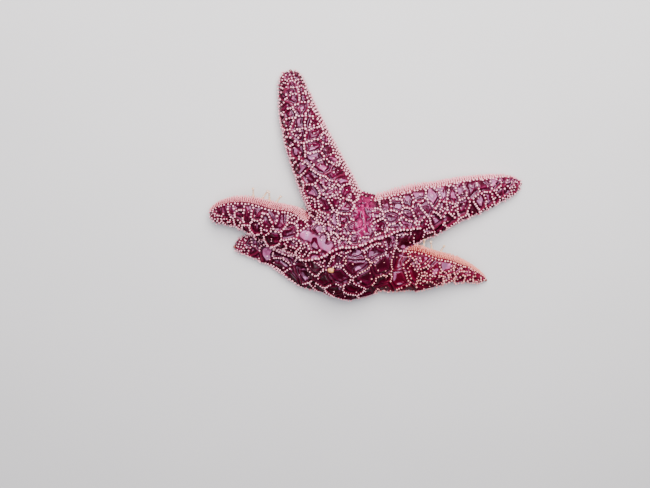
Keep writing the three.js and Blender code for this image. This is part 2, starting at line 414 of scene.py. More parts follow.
class Skin:
    """The star's one skin: its points, normals and edges, and where each point lies on the star."""

    def __init__(self, settings):
        self.settings = settings
        self.rng = np.random.default_rng(settings.seed)
        self.wrap()
        self.sculpt_form()
        self.tilt = self.normals
        self.draw_net()
        self.raise_net()

    def wrap(self):
        """The union of the arms and dome: a voxel remesh of their closed tubes, relaxed, and relaxed
        further along the creases where two of them meet."""
        depth = self.settings.depth / MM
        tubes = [closed_tube(arm.skin(depth)) for arm in ARMS] + [closed_tube(dome_rings(depth))]
        rough = new_piece("rough", *join(tubes), None)
        remesh = rough.modifiers.new("Remesh", "REMESH")
        remesh.mode = "VOXEL"
        remesh.voxel_size = self.settings.voxel
        graph = bpy.context.evaluated_depsgraph_get()
        self.mesh = bpy.data.meshes.new_from_object(rough.evaluated_get(graph))
        bpy.data.objects.remove(rough)
        self.edges = read_edges(self.mesh)
        points = relax(read_points(self.mesh), self.edges, 6, 0.5)
        crease = locate(points)["crease"][:, None]
        self.store(relax(points, self.edges, 30, 0.5 * crease))

    def store(self, points):
        """Puts moved points back into the mesh and reads the new normals."""
        self.points = points
        self.mesh.vertices.foreach_set("co", (points * MM).ravel())
        self.mesh.update()
        self.normals = read_points(self.mesh, "normal")
        self.where = locate(points)

    def push(self, distance):
        """Moves each point along its normal."""
        self.store(self.points + distance[:, None] * self.normals)

    def sculpt_form(self):
        """Large forms: uneven flesh, the fold across the disc, the hollow and the bare patch's folds."""
        points = self.points
        above = smoothstep(-5, 25, self.where["side"])
        fold, _ = beside(points, FOLD_LINE)
        reach = smoothstep(-66, -56, points[:, 0]) * smoothstep(60, 48, points[:, 0])
        ridge = 1.1 * bell(fold - FOLD_CREST, 1.5)
        drop = 2.4 * smoothstep(0.5, -3.5, fold) * bell(fold, 17)
        bent = points + 1.3 * clouds(points, 5, 5)
        creases = bell(cloud(bent * (1.0, 0.6, 0.8), 2.7, 8), 0.26)
        lumps = 0.9 * cloud(points, 17, 1) + 0.5 * cloud(points, 8, 2)
        form = (ridge - drop) * reach - HOLLOW["depth"] * patch(points, HOLLOW, 2)
        self.creased = creases * patch(points, BARE_PATCH, 4)
        form -= 1.3 * self.creased + 0.8 * patch(points, BARE_PATCH, 2)
        self.push(above * (form + lumps) + (1 - above) * 0.2 * cloud(points, 6, 3))
        self.cut_grooves()

    def cut_grooves(self):
        """The groove under each arm: the underside rises by a bell curve across the arm's middle line."""
        points = self.points
        lift = np.zeros((len(points), 3))
        self.grooved = np.zeros(len(points))
        for k, arm in enumerate(ARMS):
            out = self.where["outs"][k]
            half = arm.at(out, arm.half)
            width = np.minimum(GROOVE["half_width"], 0.25 * half)
            depth = np.minimum(GROOVE["depth"], 0.3 * arm.at(out, arm.height))
            under = smoothstep(-0.5, -0.85, self.where["ups"][k])
            under *= smoothstep(-0.2, -0.5, self.normals[:, 2])
            groove = bell(self.where["sides"][k] * half, width) * under
            self.grooved = np.maximum(self.grooved, groove)
            roll = arm.at(out, arm.roll)
            along = np.stack([arm.at(out, arm.along[:, j]) for j in (0, 1)], -1)
            across = -np.sin(roll)
            up = np.stack([-along[:, 1] * across, along[:, 0] * across, np.cos(roll)], -1)
            lift += (depth * groove)[:, None] * up
        self.store(points + lift)

    # The net

    def metric(self, offsets, along, strength):
        """Lengths of offsets, with those across an arm counted short: cells come out wider than long."""
        straight = (offsets * along).sum(-1)
        whole = (offsets**2).sum(-1)
        return np.sqrt(whole * (1 - 0.36 * strength) + straight**2 * 0.75 * strength)

    def draw_net(self):
        """The net's cells, drawn in a space bent by clouds so that their borders wander."""
        self.mark_regions()
        along, strength = self.cell_heading()
        bent = self.points + 1.25 * clouds(self.points, 4.4, 31) + 0.5 * clouds(self.points, 2.0, 35)
        self.seeds = self.throw_seeds(bent, along, strength)
        self.measure_cells(bent, along, strength)
        self.turn_about_seeds(bent, along)

    def mark_regions(self):
        """How far each point is from its arm's tip, whether it lies low, south of the fold, how far it
        belongs to the bare and sleek patches, to a raised edge's band, and to the net."""
        points, where = self.points, self.where
        owner = where["owner"]
        self.from_tip = np.where(owner < DISC_INDEX, arm_length(owner) - where["out"], 99)
        fold, _ = beside(points, FOLD_LINE)
        self.low = smoothstep(-1, -4, fold) * smoothstep(75, 45, np.abs(points[:, 0]))
        self.bare = patch(points, BARE_PATCH, 4)
        self.sleek = patch(points, SLEEK_PATCH, 4)
        # The surfaces inside the grooves and under the disc have no place in the net or in any row.
        self.outer = (self.grooved < 0.15) & ((owner < DISC_INDEX) | (self.normals[:, 2] > 0.1))
        self.raised = flank_raised(where)
        self.band = band_angle(where)
        start = np.where(flank_hemmed(where), 36, 22)
        plain = smoothstep(start - 10, start, where["side"])
        self.netted = np.where(self.raised, smoothstep(4, 10, self.band), plain) * self.outer

    def cell_heading(self):
        """Which way the cells lie at each point, along its arm, and how strongly."""
        owner, out = self.where["owner"], self.where["out"]
        along = np.zeros((len(owner), 3))
        for k, arm in enumerate(ARMS):
            mine = owner == k
            along[mine, 0] = arm.at(out[mine], arm.along[:, 0])
            along[mine, 1] = arm.at(out[mine], arm.along[:, 1])
        along[owner == DISC_INDEX, 0] = 1
        return along, np.where(owner < DISC_INDEX, smoothstep(34, 52, out), 0)

    def throw_seeds(self, bent, along, strength):
        """One seed for each cell, thrown on the back no closer to an earlier one than a spacing that is
        less near the tips and more below the fold."""
        spacing = self.settings.cell / MM
        spacing = spacing * (0.5 + 0.5 * smoothstep(4, 34, self.from_tip)) * (1 + 0.55 * self.low)
        spacing = spacing * (1 + 0.22 * cloud(self.points, 14, 41))
        candidates = self.rng.permutation(np.flatnonzero(self.netted > 0.5))[:9000]
        seeds = []
        while len(candidates):
            seed, candidates = candidates[0], candidates[1:]
            seeds.append(seed)
            gap = self.metric(bent[candidates] - bent[seed], along[seed], strength[seed])
            candidates = candidates[gap > spacing[candidates]]
        return np.array(seeds)

    def measure_cells(self, bent, along, strength):
        """Each point's two nearest seeds, and its distance from the border between them."""
        seeds = self.seeds
        self.cells = np.zeros((len(bent), 2), int)
        self.border = np.zeros(len(bent))
        for chunk in np.array_split(np.arange(len(bent)), 24):
            offsets = bent[chunk][:, None] - bent[seeds][None]
            gap = self.metric(offsets, along[seeds][None], strength[seeds][None])
            two = np.argpartition(gap, 1, axis=1)[:, :2]
            rows = np.arange(len(chunk))[:, None]
            two = two[rows, np.argsort(gap[rows, two], axis=1)]
            near, far = gap[rows, two].T
            apart = np.linalg.norm(bent[seeds[two[:, 0]]] - bent[seeds[two[:, 1]]], axis=1)
            self.cells[chunk] = two
            self.border[chunk] = (far**2 - near**2) / (2 * apart)

    def turn_about_seeds(self, bent, along):
        """Each point's distance from its cell's seed and its turn about it, and in each cell one random
        spoke: the sine of the turn from it, and where the turn is within a right angle of it."""
        cell = self.cells[:, 0]
        first = unit(along - (along * self.normals).sum(-1, keepdims=True) * self.normals)[self.seeds]
        second = np.cross(self.normals[self.seeds], first)
        offset = bent - bent[self.seeds[cell]]
        x, y = (offset * first[cell]).sum(-1), (offset * second[cell]).sum(-1)
        self.reach, self.turn = np.hypot(x, y), np.arctan2(y, x)
        spoke = self.rng.uniform(-math.pi, math.pi, len(self.seeds))[cell]
        self.looped = (self.rng.uniform(0, 1, len(self.seeds)) < 0.35)[cell]
        self.spoked = (self.rng.uniform(0, 1, len(self.seeds)) < 0.5)[cell]
        self.beside_spoke = self.reach * np.sin(self.turn - spoke)
        self.spoked &= np.cos(self.turn - spoke) > 0

    def raise_net(self):
        """Relief of the net: a ridge along each border, a furrow beside it, and inside each cell a rim
        that swells unevenly round a low middle, with a spoke in some."""
        border, points = self.border, self.points
        fold, _ = beside(points, FOLD_LINE)
        reach = smoothstep(-66, -60, points[:, 0]) * smoothstep(58, 50, points[:, 0])
        self.fold = bell(fold - FOLD_CREST, 0.9) * reach
        plain = (1 - self.bare) * (1 - self.sleek) * self.netted * (1 - 0.9 * self.fold)
        uneven = 0.5 + 0.5 * cloud(points, 6, 11)
        self.ridge = bell(border, 0.72) * (0.6 + 0.5 * uneven)
        spoke = bell(self.beside_spoke, 0.6) * self.spoked * smoothstep(5, 3, border)
        rim = bell(border - RIM_INSET, 0.7) * (0.25 + uneven + 0.5 * self.looped)
        self.ridge = np.maximum(self.ridge, 0.75 * spoke) * plain
        furrow = bell(border - 1.45, 0.55) * (1 - spoke) * plain
        self.rim = np.clip(rim * plain, 0, 1.3)
        middle = smoothstep(3.2, 5.2, border) * plain
        relief = self.settings.ridge / MM * self.ridge - 0.65 * furrow + 0.7 * self.rim - 0.5 * middle
        grain = cloud(points, 1.7, 21) * 0.4 + cloud(points, 3.2, 22) * 0.6
        relief += 0.2 * grain * (1 - self.ridge) * smoothstep(-20, 0, self.where["side"])
        self.ridge = np.maximum(self.ridge, self.fold)
        # Mask of painted shade for the colour: the furrows, the sunken middles of the cells and the bare
        # patch's creases.
        self.furrow = np.clip(furrow + 0.4 * middle + 1.2 * self.creased, 0, 1)
        # Painted reflection: a pale sheen of the sky mirrored in the wet skin, put into the colour.
        self.film = self.paint_sheen()
        # The relief moves no point to another place on the star.
        where = self.where
        self.push(relief)
        self.where = where

    def paint_sheen(self):
        """Patches of painted reflection, a pale sheen of sky on the wet skin, inside the cells where the
        form faces up and fewer below the fold, and over the sleek patch: a cloud, taken as sheen above a
        level that each arm has for itself."""
        level = np.array([SHEEN_LEVELS[arm.name] for arm in ARMS] + [SHEEN_LEVELS["disc"]])[self.where["owner"]]
        film = cloud(self.points * (1.0, 1.2, 1.0), 6.5, 51) + level
        film = smoothstep(-0.1, 0.12, film - 0.45 * self.low)
        film = film * smoothstep(1.9, 3.0, self.border) * self.netted
        sleek = self.sleek * smoothstep(-0.35, -0.1, cloud(self.points, 4, 52))
        return np.maximum(film * (1 - self.bare), sleek) * smoothstep(0.45, 0.7, self.tilt[:, 2])


def band_angle(where):
    """On the flanks that rolled arms lift, the side angle from the line where the fringe's band begins,
    negative within the band; the line climbs where the roll is less. 90 everywhere else."""
    angle = np.full(len(where["owner"]), 90.0)
    for k, arm in enumerate(ARMS):
        full = abs(arm.plan["roll"])
        mine = (where["owner"] == k) & (where["across"] * arm.plan["roll"] > 0)
        if full > 20:
            out = where["out"][mine]
            lack = 1 - np.abs(np.degrees(arm.at(out, arm.roll))) / full
            root = smoothstep(0.34, 0.24, out / arm.length)
            angle[mine] = where["side"][mine] - 15 - 18 * lack**2 + 60 * root
    return angle


def northern_edge(where):
    """Which places are on the right arm's northern flank, whose spines stand in a close hedge."""
    return (where["owner"] == HEDGED_ARM) & (where["across"] > 0)


def flank_raised(where):
    """Which places are on the flank that a rolled arm lifts."""
    roll = np.array([arm.plan["roll"] for arm in ARMS] + [0])[where["owner"]]
    return (np.abs(roll) > 20) & (where["across"] * roll > 0)


def flank_hemmed(where):
    """Which places are on the upper arm's right flank, where rows of spines run high up its side."""
    return (where["owner"] == HEMMED_ARM) & (where["across"] < 0)


def between_ends(skin, a, b, share):
    """Places and normals at a share of the way from the first to the second end of edges."""
    place = skin.points[a] * (1 - share) + skin.points[b] * share
    normal = unit(skin.normals[a] * (1 - share) + skin.normals[b] * share)
    return place, normal


def crossings(skin, values, usable):
    """Where a value changes sign along the skin's edges: the places, normals and the two ends."""
    a, b = skin.edges.T
    cut = (values[a] > 0) != (values[b] > 0)
    cut &= usable[a] & usable[b]
    a, b = a[cut], b[cut]
    share = values[a] / (values[a] - values[b])
    return *between_ends(skin, a, b, share[:, None]), a, b


def rim_crossings(skin, usable):
    """Where the skin's edges cross the rims inside the looped cells, in order round each cell."""
    usable = usable & skin.looped
    place, normal, a, b = crossings(skin, skin.border - RIM_INSET, usable)
    same = skin.cells[a, 0] == skin.cells[b, 0]
    cell = skin.cells[a, 0][same]
    turns = skin.turn[a][same]
    size = np.bincount(cell, skin.reach[a][same]) / np.maximum(np.bincount(cell), 1)
    return place[same], normal[same], cell, turns * size[cell]


def spoke_crossings(skin, usable):
    """Where the skin's edges cross the spokes, in order along each."""
    usable = usable & skin.spoked & (skin.border < 4)
    place, normal, a, b = crossings(skin, skin.beside_spoke, usable)
    same = skin.cells[a, 0] == skin.cells[b, 0]
    return place[same], normal[same], skin.cells[a, 0][same], skin.border[a][same]


def border_crossings(skin, usable):
    """Where the skin's edges cross the borders between cells, found from both ends' distances."""
    a, b = skin.edges.T
    cut = (skin.cells[a, 0] != skin.cells[b, 0]) & usable[a] & usable[b]
    a, b = a[cut], b[cut]
    share = skin.border[a] / np.maximum(skin.border[a] + skin.border[b], 1e-6)
    place, normal = between_ends(skin, a, b, share[:, None])
    pair = np.sort(np.stack([skin.cells[a, 0], skin.cells[b, 0]], -1), axis=1)
    heading = skin.points[skin.seeds[pair[:, 1]]] - skin.points[skin.seeds[pair[:, 0]]]
    key = pair[:, 0] * len(skin.seeds) + pair[:, 1]
    index = np.unique(key, return_inverse=True)[1]
    mean = np.stack([np.bincount(index, normal[:, k]) for k in range(3)], -1)
    course = unit(np.cross(heading, unit(mean)[index]))
    return place, normal, index, (place * course).sum(1)


def string(place, normal, key, course, spacing, jump=2.5):
    """Even steps along strings of crossings. Crossings are sorted along each string by course, a string
    is broken where the course jumps, and places are read off at equal steps of about the spacing."""
    order = np.lexsort((course, key))
    place, normal, key, course = place[order], normal[order], key[order], course[order]
    step = np.diff(course, prepend=course[:1])
    broken = (np.diff(key, prepend=key[:1]) != 0) | (step > jump)
    step[broken] = 0
    run = np.cumsum(broken)
    gone = np.cumsum(step)
    first = np.searchsorted(run, np.arange(run[-1] + 1))
    last = np.searchsorted(run, np.arange(run[-1] + 1), side="right") - 1
    length = gone[last] - gone[first]
    count = np.where(length > 0.3 * spacing, np.maximum(1, np.round(length / spacing)), 0).astype(int)
    of = np.repeat(np.arange(len(count)), count)
    step_number = np.arange(len(of)) - np.repeat(np.cumsum(count) - count, count)
    # Runs are set apart by a unit of length, so that one interpolation serves them all.
    target = gone[first][of] + (step_number + 0.5) / count[of] * length[of] + of
    course = gone + run
    read = [np.interp(target, course, values) for values in (*place.T, *normal.T)]
    return np.stack(read[:3], -1), unit(np.stack(read[3:], -1)), of


# ---------------------------------------------------------------- spines


def spine_shape(heights, radii, sides):
    """One spine of unit length and radius: a circle carried up an axis, its radius given at each height,
    closed at both ends."""
    turn = np.linspace(0, 2 * math.pi, sides, endpoint=False)
    heights, radii = np.array(heights)[:, None], np.array(radii)[:, None]
    ring = np.stack([radii * np.cos(turn), radii * np.sin(turn), heights + 0 * turn], -1)
    return closed_tube(ring)


KNOB = spine_shape([-0.3, 0.15, 0.45, 0.66, 0.86, 0.97, 1.0], [0.6, 0.5, 0.68, 0.98, 0.92, 0.55, 0.18], 9)
PEG = spine_shape([-0.2, 0.2, 0.7, 0.93, 1.0], [0.85, 1.0, 0.9, 0.62, 0.2], 7)
NEEDLE = spine_shape([-0.15, 0.35, 0.85, 1.0], [1.0, 0.95, 0.7, 0.25], 6)
FOOT = spine_shape([-0.1, 0.12, 0.35, 0.6, 0.82, 0.88, 0.96, 1.0],
                   [1.0, 0.85, 0.72, 0.66, 0.6, 0.98, 1.1, 0.8], 12)

CHAIN_ROOM = 1.5  # the least distance between the knobbed spines of chains
PLATE_ROOM = 3.4  # how far the knobbed spines keep from the middle of the sieve plate
# The fringe's rows: the angles down a raised edge's band, then the hedge's side angles and lengths, then
# the other flanks' side angles, lengths, radii and spacings as a share of the fringe's.
BAND_ANGLES = (-6, -11, -16, -21, -26, -31, -38, -46, -55)
BAND_HEM = -66  # the angle of the needles that hem the band
HEDGE_ROWS = ((15, 1.6), (9, 1.9), (3, 2.3), (-4, 2.8), (-12, 3.4))
LOWER_ROWS = ((-26, 2.2, 0.5, 1.5), (-36, 2.4, 0.42, 1.0), (-46, 2.4, 0.42, 1.0), (-58, 1.5, 0.5, 1.7),
              (-70, 1.1, 0.5, 2.0))
GROOVE_ROWS = (4.4, 6.2)  # distances from an arm's middle line
# Lengths and radii of the band's pegs, of the needles that hem it, and of those beside the grooves.
BAND_PEG = (1.3, 0.43)
HEM_NEEDLE = (3.0, 0.42)
GROOVE_NEEDLE = (1.8, 0.38)
# The two rows of tube feet in each groove: how far out they begin, how far from the tip they end, and
# the step between them.
FEET_ROWS = {"first": 12, "from_tip": 5, "step": 2.3}


def unwrap(where):
    """The skin laid flat: a band for each arm and one for the disc, with the distance out across the
    band and the angle round the section up it."""
    arm = where["owner"] < DISC_INDEX
    across = np.where(arm, where["out"] / 140, where["out"] / DISC["radius"] / (2 * math.pi) + 0.5)
    around = (where["side"] + 90) / np.where(arm, 360, 180)
    around = np.where(arm & (where["across"] < 0), 1 - around, around)
    band = (where["owner"] + 0.04 + 0.92 * around) / (len(ARMS) + 1)
    return np.stack([0.02 + 0.96 * np.clip(across, 0, 1), band], -1)


def plant(shape, places, leans, lengths, radii, rng):
    """Copies of a spine at each place: along its lean, scaled to its length and radius and turned by
    chance. Each copy's map is a disc 0.003 across at its root's place on the unwrapped skin."""
    points, faces = shape
    number, size = len(places), len(points)
    leans = unit(leans)
    twist = rng.uniform(0, 2 * math.pi, number)
    aside = unit(np.cross(leans, (0.31, 0.27, 0.91)))
    ahead = np.cross(leans, aside)
    first = aside * np.cos(twist)[:, None] + ahead * np.sin(twist)[:, None]
    second = np.cross(leans, first)
    flat = points[:, :2] @ np.stack([first, second], 1) * radii[:, None, None]
    tall = (points[:, 2] * lengths[:, None])[..., None] * leans[:, None]
    solid = (places[:, None] + flat + tall).reshape(-1, 3)
    solid[:, 2] = np.maximum(solid[:, 2], 0.04)
    moved = [(block[None] + size * np.arange(number)[:, None, None]).reshape(-1, block.shape[1])
             for block in faces]
    rise = np.clip(points[:, 2], 0, 1)
    disc = 0.0015 * points[:, :2] / np.abs(points[:, :2]).max() * (1 - 0.7 * rise)[:, None]
    uv = (unwrap(locate(places))[:, None] + disc[None]).reshape(-1, 2)
    tone = np.repeat(rng.uniform(0, 1, number), size)
    return {"points": solid, "faces": moved, "uv": uv, "rise": np.tile(rise, number), "tone": tone}


def spine_piece(name, batches, material, **extra):
    """One piece from several batches of planted spines."""
    points, faces = join([(batch["points"], batch["faces"]) for batch in batches])
    uv, rise, tone = (np.concatenate([batch[key] for batch in batches]) for key in ("uv", "rise", "tone"))
    values = {key: np.full(len(points), value) for key, value in extra.items()}
    return new_piece(name, points, faces, material, uv=uv, rise=rise, tone=tone, **values)


def spread(places, closest):
    """Which places to keep: each in turn, unless one already kept is nearer than its least distance."""
    kept = np.empty_like(places)
    keep = np.zeros(len(places), bool)
    count = 0
    for k, place in enumerate(places):
        if not (np.linalg.norm(kept[:count] - place, axis=1) < closest[k]).any():
            kept[count] = place
            keep[k] = True
            count += 1
    return keep


def row_of(skin, values, spacing, usable):
    """A row along the outer skin, where a value is 0."""
    return flank_lines(skin, values, spacing, usable & skin.outer)


def flank_lines(skin, values, spacing, usable):
    """Even steps along the lines on the skin where a value is 0, one line for each flank."""
    owner, across = skin.where["owner"], skin.where["across"]
    place, normal, a, b = crossings(skin, values, usable)
    same = (owner[a] == owner[b]) & ((across[a] > 0) == (across[b] > 0))
    key = owner[a] * 2 + (across[a] > 0)
    return string(place[same], normal[same], key[same], skin.where["out"][a][same], spacing, 3.5)[:2]


def nearest_arm(places):
    """The arm that each place lies on or, on the disc, the arm whose middle line runs nearest."""
    where = locate(places)
    gaps = np.abs(where["sides"][:DISC_INDEX]) + 0.02 * np.abs(where["outs"][:DISC_INDEX] - 40)
    return np.where(where["owner"] < DISC_INDEX, where["owner"], np.argmin(gaps, axis=0)), where


def tip_share(where):
    """How near its arm's tip each place is: 1 at the tip and 0 from 30 mm away."""
    return 1 - smoothstep(0, 30, arm_length(where["owner"]) - where["out"])


# ---------------------------------------------------------------- finishes


class Socket:
    """A number or colour inside a finish. Arithmetic on it adds Math nodes."""

    def __init__(self, finish, socket):
        self.finish = finish
        self.socket = socket

    def math(self, operation, first, second):
        return self.finish.node("ShaderNodeMath", {"operation": operation}, {0: first, 1: second})

    def __add__(self, other):
        return self.math("ADD", self, other)

    def __mul__(self, other):
        return self.math("MULTIPLY", self, other)

    __radd__ = __add__
    __rmul__ = __mul__


class Finish:
    """A material built node by node round one Principled shader."""

    def __init__(self, name, **constants):
        self.material = bpy.data.materials.new(name)
        self.material.use_nodes = True
        self.tree = self.material.node_tree
        self.shader = self.tree.nodes["Principled BSDF"]
        for key, value in constants.items():
            self.shader.inputs[key.replace("_", " ")].default_value = value

    def node(self, kind, settings=None, inputs=None, output=0):
        """A node of a kind: its settings first, then the values or links of its inputs. Gives one of
        its outputs."""
        node = self.tree.nodes.new(kind)
        for key, value in (settings or {}).items():
            setattr(node, key, value)
        for key, value in (inputs or {}).items():
            self.feed(node.inputs[key], value)
        return Socket(self, node.outputs[output])

    def feed(self, target, value):
        """Links a socket to an input, or sets the input to a value."""
        if isinstance(value, Socket):
            self.tree.links.new(value.socket, target)
        elif target.type == "RGBA" and len(value) == 3:
            target.default_value = (*value, 1)
        else:
            target.default_value = value

    def drive(self, **inputs):
        """Feeds the shader's own inputs."""
        for key, value in inputs.items():
            self.feed(self.shader.inputs[key.replace("_", " ")], value)

    def dull(self, share, colour, normal):
        """Mixes in a second shader with no gloss, by a share that may vary."""
        inputs = {"Base Color": colour, "Normal": normal, "Roughness": 0.8, "Specular IOR Level": 0.0}
        dry = self.node("ShaderNodeBsdfPrincipled", None, inputs)
        wet = Socket(self, self.shader.outputs[0])
        mixed = self.node("ShaderNodeMixShader", None, {0: share, 1: wet, 2: dry})
        self.feed(self.tree.nodes["Material Output"].inputs["Surface"], mixed)

    # The nodes that the finishes use, each with its own inputs in short.

    def place(self):
        return self.node("ShaderNodeTexCoord", output="Object")

    def attribute(self, name):
        return self.node("ShaderNodeAttribute", {"attribute_name": name}, output="Fac")

    def noise(self, scale, detail=2.0, roughness=0.5):
        inputs = {"Vector": self.place(), "Scale": scale, "Detail": detail, "Roughness": roughness}
        return self.node("ShaderNodeTexNoise", None, inputs, "Fac")

    def mix(self, share, first, second):
        inputs = {0: share, 6: first, 7: second}
        return self.node("ShaderNodeMix", {"data_type": "RGBA"}, inputs, 2)

    def between(self, value, low, high):
        inputs = {"Value": value, "From Min": low, "From Max": high}
        return self.node("ShaderNodeMapRange", {"interpolation_type": "SMOOTHSTEP"}, inputs)

    def bump(self, height, strength, distance):
        inputs = {"Height": height, "Strength": strength, "Distance": distance}
        return self.node("ShaderNodeBump", None, inputs)


def skin_finish(colours):
    """Wet skin: clouded magenta, with painted shade in the furrows, below the fold, in the hollow and where
    a raised edge begins, paler on the net's ridges, the bare patch and the lower edges, with patches of
    painted reflection, a pale sheen, inside the cells and a fine grain of skin gills. Steep flanks lose
    most of their gloss."""
    finish = Finish("wet skin", Coat_Weight=0.15, Coat_Roughness=0.1, Specular_IOR_Level=0.38,
                    Specular_Tint=(0.95, 0.42, 0.8, 1))
    clouds = finish.between(finish.noise(70, 3), 0.35, 0.68)
    colour = finish.mix(clouds, colours.deep_and_shade, colours.skin)
    colour = finish.mix(finish.between(finish.noise(240, 2), 0.5, 0.75) * 0.35, colour, colours.bright)
    # Painted shade below the fold, in the hollow and where a raised edge begins.
    colour = finish.mix(finish.attribute("shade") * 0.85, colour, colours.deep_and_shade)
    swell = finish.mix(finish.between(finish.noise(420, 2), 0.48, 0.7), colours.bright, colours.swell)
    colour = finish.mix(finish.attribute("bare") * 0.8, colour, swell)
    colour = finish.mix(finish.attribute("rim") * 0.24, colour, colours.bright)
    colour = finish.mix(finish.attribute("warm") * 0.5, colour, colours.warm_skin)
    # Painted reflection: pale patches of sheen inside the cells and over the sleek patch, standing for the
    # sky mirrored in the wet skin.
    film = finish.attribute("film") + 0.9 * finish.noise(380, 4, 0.6)
    pale = finish.mix(finish.between(finish.noise(300, 3), 0.4, 0.65) * 0.45, colours.film, colours.swell)
    colour = finish.mix(finish.between(film, 0.88, 1.3) * 0.72, colour, pale)
    # Painted shade in the furrows, the sunken cell middles and the creases.
    colour = finish.mix(finish.attribute("furrow") * 0.85, colour, colours.furrow_shade)
    colour = finish.mix(finish.attribute("ridge") * 0.27, colour, colours.ridge_colour)
    edge = finish.mix(finish.attribute("warm"), colours.edge, colours.warm_edge)
    colour = finish.mix(finish.attribute("edge") * 0.85, colour, edge)
    inputs = {"Vector": finish.place(), "Scale": 1150.0}
    gills = finish.node("ShaderNodeTexVoronoi", None, inputs, "Distance")
    normal = finish.bump(gills * 0.6 + finish.noise(2600, 2) * 0.4, 0.22, 0.0003)
    finish.drive(Base_Color=colour, Roughness=0.2 + 0.2 * finish.noise(900, 2), Normal=normal)
    finish.dull(finish.attribute("dry") * 0.85, colour, normal)
    return finish.material


def spine_finish(name, root, tip, warm, start=0.25, end=0.7):
    """Chalky spines under a film of water: skin-coloured at the root, pale from a start to an end of
    their height, and each of its own tone."""
    finish = Finish(name, Coat_Weight=0.35, Coat_Roughness=0.2)
    rise = finish.between(finish.attribute("rise"), start, end)
    pale = finish.mix(finish.attribute("warm"), tip, warm)
    pale = finish.mix(finish.attribute("tone") * 0.22, pale, root)
    speckle = finish.noise(3000, 2)
    normal = finish.bump(speckle, 0.25, 0.0002)
    finish.drive(Base_Color=finish.mix(rise, root, pale), Roughness=0.4 + 0.25 * speckle, Normal=normal)
    return finish.material


def soft_finish(name, first, second, scale, **constants):
    """Soft wet tissue of two mingled colours."""
    finish = Finish(name, Coat_Weight=0.5, Coat_Roughness=0.1, **constants)
    mingled = finish.between(finish.noise(scale, 3), 0.35, 0.65)
    relief = finish.noise(scale * 3, 2)
    normal = finish.bump(relief, 0.3, 0.0003)
    colour = finish.mix(mingled, first, second)
    finish.drive(Base_Color=colour, Roughness=0.3 + 0.2 * relief, Normal=normal)
    return finish.material


def floor_finish():
    """Plain pale matt board."""
    finish = Finish("pale board")
    colour = finish.mix(finish.noise(9, 2), (0.6, 0.59, 0.57), (0.64, 0.63, 0.61))
    finish.drive(Base_Color=colour, Roughness=0.75 + 0.1 * finish.noise(60, 2))
    return finish.material


# ---------------------------------------------------------------- settings


def length(name, text, default):
    return FloatProperty(name=name, description=text, default=default, min=0, subtype="DISTANCE")


def colour(name, text, default):
    return FloatVectorProperty(name=name, description=text, default=default, size=3, min=0, max=1,
                               subtype="COLOR")


def watts(name, text, default):
    return FloatProperty(name=name, description=text, default=default, min=0, unit="POWER")


class StarSkinSettings(bpy.types.PropertyGroup):
    """Sizes and colours of the skin."""

    depth: length("Coat depth", "How far the skin lies inside the spines' tips", 0.0015)
    voxel: length("Fineness", "Size of the voxels that join the arms and disc", 0.00075)
    cell: length("Cell size", "Least distance between the middles of two cells of the net", 0.0074)
    ridge: length("Ridge height", "Height of the net's ridges over the skin", 0.0012)
    seed: IntProperty(name="Seed", description="Start of the random layout of the net", default=7)
    skin: colour("Skin", "Main colour of the back", (0.055, 0.0002, 0.0085))
    # The skin's own deep mottle, and the colour of the painted shade below the fold and in the hollow.
    deep_and_shade: colour("Deep", "Colour in the furrows and on shaded flanks", (0.03, 0.0002, 0.004))
    bright: colour("Bright", "Colour of stretched skin", (0.2, 0.002, 0.05))
    ridge_colour: colour("Ridge", "Colour of the net's ridges", (0.4, 0.03, 0.1))
    # Colour of the painted reflection, the pale sheen of sky on the wet skin.
    film: colour("Film", "Colour of the pale film inside the cells", (0.36, 0.15, 0.28))
    warm_skin: colour("Warm skin", "Main colour on the warmer arm", (0.13, 0.0008, 0.012))
    # Colour of the painted shade in the furrows, the sunken cell middles and the bare patch's creases.
    furrow_shade: colour("Dark", "Colour in the furrows", (0.008, 0.0001, 0.001))
    swell: colour("Swollen", "Palest colour of the bare patch", (0.58, 0.03, 0.2))
    edge: colour("Edge", "Colour of the lower flanks and underside", (0.22, 0.03, 0.05))
    warm_edge: colour("Warm edge", "The same on the warmer arm", (0.24, 0.025, 0.02))


class StarSpineSettings(bpy.types.PropertyGroup):
    """Sizes and colours of the spines."""

    spacing: length("Spacing", "Distance between spines along a chain", 0.002)
    radius: length("Radius", "Radius of a spine's knob", 0.00075)
    height: length("Height", "Length of a spine above the skin", 0.0015)
    row_spacing: length("Row spacing", "Distance between spines along the flanks' rows", 0.0023)
    fringe_spacing: length("Fringe spacing", "Distance between the slender spines of the fringe", 0.0012)
    root: colour("Root", "Colour at the foot of a spine", (0.36, 0.04, 0.09))
    tip: colour("Tip", "Colour of most spines' knobs", (0.95, 0.46, 0.55))
    warm: colour("Warm", "Colour of the knobs on the warmer arm", (0.86, 0.32, 0.2))
    fringe: colour("Fringe", "Colour of the fringe's slender spines", (0.86, 0.34, 0.43))
    warm_fringe: colour("Warm fringe", "The same on the warmer arm", (0.84, 0.27, 0.17))


class StarSoftSettings(bpy.types.PropertyGroup):
    """Colours of the tube feet, madreporite, mouth and eyespots."""

    feet: colour("Tube feet", "Colour of the tube feet", (0.78, 0.4, 0.18))
    plate: colour("Madreporite", "Colour of the sieve plate", (0.6, 0.22, 0.05))
    mouth: colour("Mouth", "Colour of the mouth's membrane", (0.6, 0.28, 0.22))
    eye: colour("Eyespot", "Colour of the eyespots", (0.1, 0.004, 0.006))


